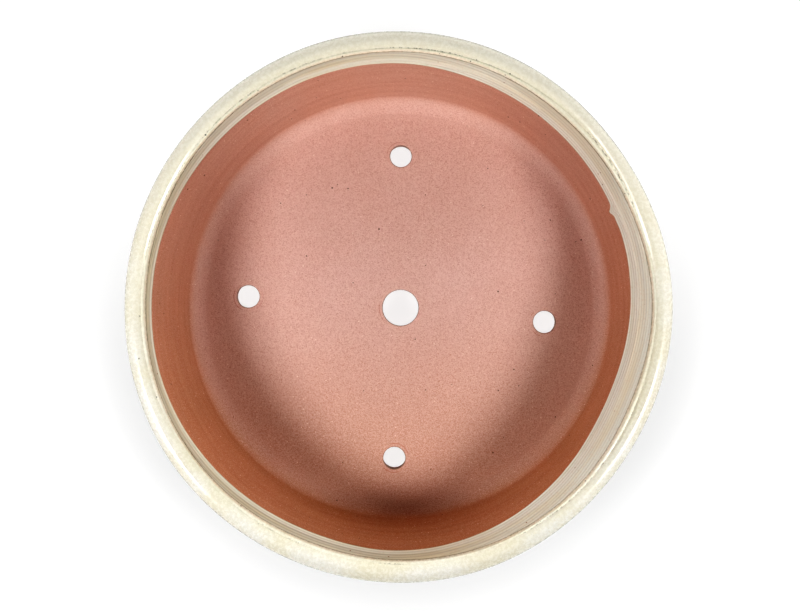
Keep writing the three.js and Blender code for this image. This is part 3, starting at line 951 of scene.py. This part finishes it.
def foot_coat(points, normals):
    """A closed coat and how thin it is: inside the clay where the foot is bare, over it where glazed."""
    radius = np.hypot(points[:, 0], points[:, 1])
    ragged = np.array([noise.noise(Vector(p) * 0.16) + 0.4 * noise.noise(Vector(p) * 0.5) for p in points])
    # both edges wander, and the lower one swells to a roll, as on the wall
    line = points[:, 2] - GLAZE_ABOVE_SOLE + 0.9 * ragged
    from_back = radius - FOOT_INNER_RADIUS - FOOT_GLAZED_FROM + 1.5 * ragged
    cover = smoothstep(0, 1.1, line) * smoothstep(0, 1.6, from_back)
    roll = 0.25 * cover * bell(line, 1.4, 0.9)
    offset = -FOOT_SUNK + (FOOT_SUNK + COAT) * cover + roll
    moved = points + normals * offset[:, None]
    return moved, 1 - cover * smoothstep(0.4, 2.4, line)


straight_foot, foot_faces = flat_foot()
for number, foot_angle in enumerate(FOOT_ANGLES, 1):
    foot_points = bent(straight_foot, math.radians(foot_angle))
    foot_clay = make_object(f"foot_{number}_clay", foot_points, foot_faces, 180)
    dress(foot_clay, clay, "bare_clay", f"foot_{number}")
    foot_normals = np.empty(len(foot_points) * 3, dtype=np.float32)
    foot_clay.data.vertices.foreach_get("normal", foot_normals)
    coat_points, coat_thinness = foot_coat(foot_points, foot_normals.reshape(-1, 3))
    foot_glaze = make_object(f"foot_{number}_coat", coat_points, foot_faces, 180)
    store(foot_glaze, "thinness", coat_thinness)
    dress(foot_glaze, outer_glaze, "cream_glaze", f"foot_{number}_glaze")

# ---- Studio ----

CAMERA_HEIGHT = 330.0  # above the rim
CAMERA_ASIDE = (0.27, 0.82)  # how far the camera stands off the pot's axis
LENS = 27.7
SENSOR = 36.0

PAPER_HALF_WIDTH = 6000.0
PAPER_GLOW = 0.95
PAPER_SHADE = 0.19  # how much less the paper glows beside the pot's front
PAPER_SHADE_AT_BACK = 0.1  # the share of it that is left at the pot's back
PAPER_SHADE_UNDER = 0.1  # how much less it glows under the pot
PAPER_SHADE_RADII = (182.0, 235.0)  # where it begins to fade and where it ends
PAPER_SHADE_DEPTHS = (-60.0, 130.0)  # the Y where it begins to weaken and where it is weakest
UNDER_POT_RADII = (118.0, 135.0)  # where the paper under the pot gives way to the paper beside it
BACKDROP_RADIUS = 5000.0
BACKDROP_GLOW = 0.975

TENT_BRIGHT_SIDE = math.radians(76)  # azimuth
TENT_NORTH_GLOW = 2.4
TENT_SOUTH_GLOW = 0.02
TENT_BRIGHTENING = (-0.1, 0.8)  # the cosines from the bright side between which it brightens
TENT_SIDE_TOP = math.radians(20)  # above the horizon
TENT_SOFTNESS = math.radians(6)
TENT_TOP_GLOW = 0.02
LAMPS = (  # name, azimuth and elevation in degrees, distance and width, power in watts
    ("soft_box_left", 208.7, 46, 580.0, 180.0, 2.2),
    ("soft_box_right", 334.2, 45.5, 600.0, 180.0, 2.16),
    ("fill_board", 94, 40, 900.0, 900.0, 0.6),
)
TOE = 0.4  # the brightness below which tones fall as the square of the light
BLACK = 0.035  # the brightness that is printed as black


def glowing(name, base):
    """A studio material that glows white, over a grey base."""
    n = Nodes(name)
    n.shader.inputs["Base Color"].default_value = (base, base, base, 1)
    n.shader.inputs["Specular IOR Level"].default_value = 0.0
    n.shader.inputs["Emission Color"].default_value = (1, 1, 1, 1)
    return n


def studio_object(name, points, faces, material):
    """A plain object from points in millimetres."""
    mesh = bpy.data.meshes.new(name)
    mesh.from_pydata([Vector(point) * MM for point in points], [], faces)
    mesh.materials.append(material)
    piece = bpy.data.objects.new(name, mesh)
    bpy.context.scene.collection.objects.link(piece)
    return piece


def studio_floor():
    """Glowing paper, a little dimmer beside and under the pot, as if the pot kept light off it."""
    n = glowing("studio_paper", 0.15)
    n.shader.inputs["Roughness"].default_value = 0.9
    flat = n.node("ShaderNodeVectorMath", operation="LENGTH")
    n.link(n.place((1, 1, 0)), flat.inputs[0])
    radius = n.math("DIVIDE", flat.outputs["Value"], MM)
    near = n.range(radius, *PAPER_SHADE_RADII, 1.0, 0.0)
    south = n.range(n.axis("Y"), *PAPER_SHADE_DEPTHS, 1.0, PAPER_SHADE_AT_BACK)
    under = n.range(radius, *UNDER_POT_RADII, 1.0, 0.0)
    beside = n.times(n.times(near, south), PAPER_SHADE)
    beside = n.times(beside, n.minus(1.0, under))
    shade = n.plus(beside, n.times(under, PAPER_SHADE_UNDER))
    n.link(n.minus(PAPER_GLOW, shade), n.shader.inputs["Emission Strength"])
    half = PAPER_HALF_WIDTH
    corners = [(-half, -half, 0), (half, -half, 0), (half, half, 0), (-half, half, 0)]
    paper = studio_object("studio_floor", corners, [(0, 1, 2, 3)], n.material)


def studio_backdrop():
    """A round pale wall behind everything. It is only there to be looked at and throws no light."""
    n = glowing("studio_backdrop", 0.0)
    n.shader.inputs["Emission Strength"].default_value = BACKDROP_GLOW
    sides = 64
    ring = list(circle(Vector((0, 0)), BACKDROP_RADIUS, sides))
    points = [(*point, height) for height in (0.0, BACKDROP_RADIUS) for point in ring]
    faces = [(k, (k + 1) % sides, (k + 1) % sides + sides, k + sides) for k in range(sides)]
    wall = studio_object("studio_backdrop", points, faces, n.material)
    wall.visible_diffuse = False
    wall.visible_glossy = False
    wall.visible_transmission = False
    wall.visible_shadow = False


def soft_light(name, azimuth, elevation, distance, width, power):
    """A round soft box that looks at the middle of the pot's floor."""
    data = bpy.data.lights.new(name, "AREA")
    data.shape = "DISK"
    data.size = width * MM
    data.energy = power
    lamp = bpy.data.objects.new(name, data)
    turn = math.radians(azimuth)
    rise = math.radians(elevation)
    away = Vector((math.cos(turn) * math.cos(rise), math.sin(turn) * math.cos(rise), math.sin(rise)))
    lamp.location = (Vector((0, 0, FLOOR_TOP)) + away * distance) * MM
    lamp.rotation_euler = (-away).to_track_quat("-Z", "Y").to_euler()
    bpy.context.scene.collection.objects.link(lamp)


def studio_world():
    """A light tent: white sides near the horizon, brightest in the north, under a dim top."""
    world = bpy.data.worlds.new("studio")
    world.use_nodes = True
    tree = world.node_tree

    def ramp(output, low, high, to_low, to_high):
        made = tree.nodes.new("ShaderNodeMapRange")
        made.interpolation_type = "SMOOTHSTEP"
        tree.links.new(output, made.inputs["Value"])
        for key, value in (("From Min", low), ("From Max", high), ("To Min", to_low), ("To Max", to_high)):
            made.inputs[key].default_value = value
        return made.outputs["Result"]

    where = tree.nodes.new("ShaderNodeTexCoord")
    split = tree.nodes.new("ShaderNodeSeparateXYZ")
    tree.links.new(where.outputs["Generated"], split.inputs[0])
    side_top = math.sin(TENT_SIDE_TOP - TENT_SOFTNESS)
    top_start = math.sin(TENT_SIDE_TOP + TENT_SOFTNESS)
    side = ramp(split.outputs["Z"], side_top, top_start, 1, 0)
    towards = tree.nodes.new("ShaderNodeVectorMath")
    towards.operation = "DOT_PRODUCT"
    tree.links.new(where.outputs["Generated"], towards.inputs[0])
    towards.inputs[1].default_value = (math.cos(TENT_BRIGHT_SIDE), math.sin(TENT_BRIGHT_SIDE), 0)
    glow = ramp(towards.outputs["Value"], *TENT_BRIGHTENING, TENT_SOUTH_GLOW, TENT_NORTH_GLOW)
    strength = tree.nodes.new("ShaderNodeMath")
    strength.operation = "MULTIPLY_ADD"
    tree.links.new(side, strength.inputs[0])
    tree.links.new(glow, strength.inputs[1])
    strength.inputs[2].default_value = TENT_TOP_GLOW
    background = tree.nodes["Background"]
    background.inputs["Color"].default_value = (1, 1, 1, 1)
    tree.links.new(strength.outputs[0], background.inputs["Strength"])
    bpy.context.scene.world = world


def print_tone(toe, black):
    """The contrast of a printed photograph: shadows fall as the square of the light, white stays white."""
    view = bpy.context.scene.view_settings
    view.view_transform = "Standard"
    view.use_curve_mapping = True
    curve = view.curve_mapping.curves[3]
    for x in np.linspace(0, 1, 17)[1:-1]:  # the curve has its two ends already
        curve.points.new(x, x * x * (1 + toe) / (x + toe))
    view.curve_mapping.black_level = (black, black, black)
    view.curve_mapping.update()


def studio_camera():
    """The camera isn't turned, so it looks straight down."""
    data = bpy.data.cameras.new("camera")
    data.lens = LENS
    data.sensor_width = SENSOR
    camera = bpy.data.objects.new("camera", data)
    camera.location = Vector((*CAMERA_ASIDE, RIM_TOP + CAMERA_HEIGHT)) * MM
    bpy.context.scene.collection.objects.link(camera)
    bpy.context.scene.camera = camera


studio_floor()
studio_backdrop()
studio_world()
for lamp in LAMPS:
    soft_light(*lamp)
studio_camera()
print_tone(TOE, BLACK)
